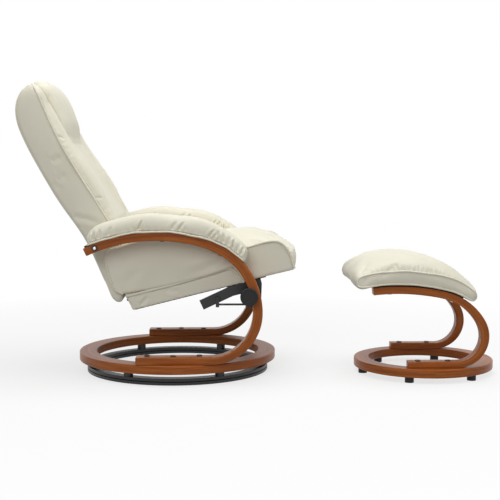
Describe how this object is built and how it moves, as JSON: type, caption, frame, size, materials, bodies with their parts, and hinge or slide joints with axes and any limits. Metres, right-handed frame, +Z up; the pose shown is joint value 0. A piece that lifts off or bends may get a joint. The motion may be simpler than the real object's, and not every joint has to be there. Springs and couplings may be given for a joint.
{
  "type": "swivel recliner with footstool",
  "caption": "Leather recliner on bentwood side frames and a swivel ring base, with padded arms, a hinged reclining seat and back on side glides, and a matching footstool",
  "frame": {"origin": "on the floor, on the chair's swivel axis", "axes": "+X to the chair's front and the stool, +Y to the sitter's left, +Z up"},
  "size_m": [1.4613, 0.639, 0.9025],
  "materials": {
    "ivory_leather": "soft matt grain",
    "cherry_wood": "satin lacquer",
    "plywood": "dark stained",
    "black_steel": "satin black",
    "bearing_steel": "plain",
    "bright_steel": "polished",
    "black_fabric": "woven",
    "black_plastic": "fine texture"
  },
  "bodies": {
    "floor": {"floor_ring": "black_steel"},
    "cage": {"ball_cage": "bearing_steel", "bearing_balls": "bearing_steel"},
    "base": {"swivel_ring": "black_steel", "spacer_posts": "black_steel", "base_ring": "cherry_wood", "side_frame_left": "cherry_wood", "side_frame_right": "cherry_wood", "foot_bolts": "black_steel", "arm_board_left": "plywood", "arm_board_right": "plywood", "arm_pad_left": "ivory_leather", "arm_pad_right": "ivory_leather", "arm_screws": "black_steel", "pivot_bolts": "bright_steel", "pivot_washers": "black_steel", "clamp_bracket_left": "black_steel", "clamp_bracket_right": "black_steel", "bracket_bolts": "black_steel"},
    "wheel_left": {"hand_wheel_left": "black_plastic", "wheel_stud_left": "bearing_steel"},
    "wheel_right": {"hand_wheel_right": "black_plastic", "wheel_stud_right": "bearing_steel"},
    "clamp_left": {"glide_clamp_left": "black_steel"},
    "clamp_right": {"glide_clamp_right": "black_steel"},
    "back": {"back_shell": "ivory_leather", "back_cushion": "ivory_leather", "headrest": "ivory_leather", "back_frame": "plywood", "back_straps": "black_fabric", "pivot_plate_left": "black_steel", "pivot_plate_right": "black_steel", "pivot_bushes": "bearing_steel", "back_hinge_leaves": "bearing_steel", "hinge_pins": "bearing_steel"},
    "seat": {"seat_frame": "plywood", "seat_straps": "black_fabric", "seat_cushion": "ivory_leather", "seat_side_left": "ivory_leather", "seat_side_right": "ivory_leather", "seat_apron": "ivory_leather", "seat_dust_cover": "black_fabric", "seat_hinge_leaves": "bearing_steel", "glide_bar_left": "black_steel", "glide_bar_right": "black_steel", "glide_rod_left": "bearing_steel", "glide_rod_right": "bearing_steel", "glide_bolts": "black_steel"},
    "stool": {"stool_ring": "cherry_wood", "stool_feet": "black_plastic", "stool_frame_left": "cherry_wood", "stool_frame_right": "cherry_wood", "stool_foot_bolts": "black_steel", "stool_strip_left": "black_steel", "stool_strip_right": "black_steel", "stool_board": "plywood", "stool_cushion": "ivory_leather", "stool_screws": "black_steel"}
  },
  "joints": [
    {"name": "swivel", "type": "hinge", "parent": "floor", "child": "base", "pos_m": [0, 0, 0.01], "axis": [0, 0, 1], "continuous": true},
    {"name": "ball_roll", "type": "hinge", "parent": "floor", "child": "cage", "pos_m": [0, 0, 0.01], "axis": [0, 0, 1], "continuous": true},
    {"name": "recline", "type": "hinge", "parent": "base", "child": "back", "pos_m": [-0.22391, 0, 0.40516], "axis": [0, -1, 0], "range_deg": [-5, 18]},
    {"name": "seat_hinge", "type": "hinge", "parent": "back", "child": "seat", "pos_m": [-0.13991, 0, 0.24016], "axis": [0, -1, 0], "range_deg": [-23.58, 6.55]},
    {"name": "clamp_turn_left", "type": "hinge", "parent": "base", "child": "clamp_left", "pos_m": [0.22227, 0.2372, 0.26347], "axis": [0, -1, 0], "range_deg": [-5.58, 1.55]},
    {"name": "clamp_turn_right", "type": "hinge", "parent": "base", "child": "clamp_right", "pos_m": [0.22227, -0.2372, 0.26347], "axis": [0, -1, 0], "range_deg": [-5.58, 1.55]},
    {"name": "wheel_turn_left", "type": "hinge", "parent": "base", "child": "wheel_left", "pos_m": [0.22227, 0.308, 0.26347], "axis": [0, 1, 0], "range_deg": [-180, 180]},
    {"name": "wheel_turn_right", "type": "hinge", "parent": "base", "child": "wheel_right", "pos_m": [0.22227, -0.308, 0.26347], "axis": [0, -1, 0], "range_deg": [-180, 180]},
    {"name": "stool_push", "type": "slide", "parent": "floor", "child": "stool", "axis": [1, 0, 0], "range_m": [0, 0.3]}
  ],
  "couplings": [
    {"joint": "ball_roll", "follows": "swivel", "ratio": 0.5},
    {"joint": "seat_hinge", "follows": "recline", "ratio": -1.31},
    {"joint": "clamp_turn_left", "follows": "recline", "ratio": -0.31},
    {"joint": "clamp_turn_right", "follows": "recline", "ratio": -0.31}
  ]
}
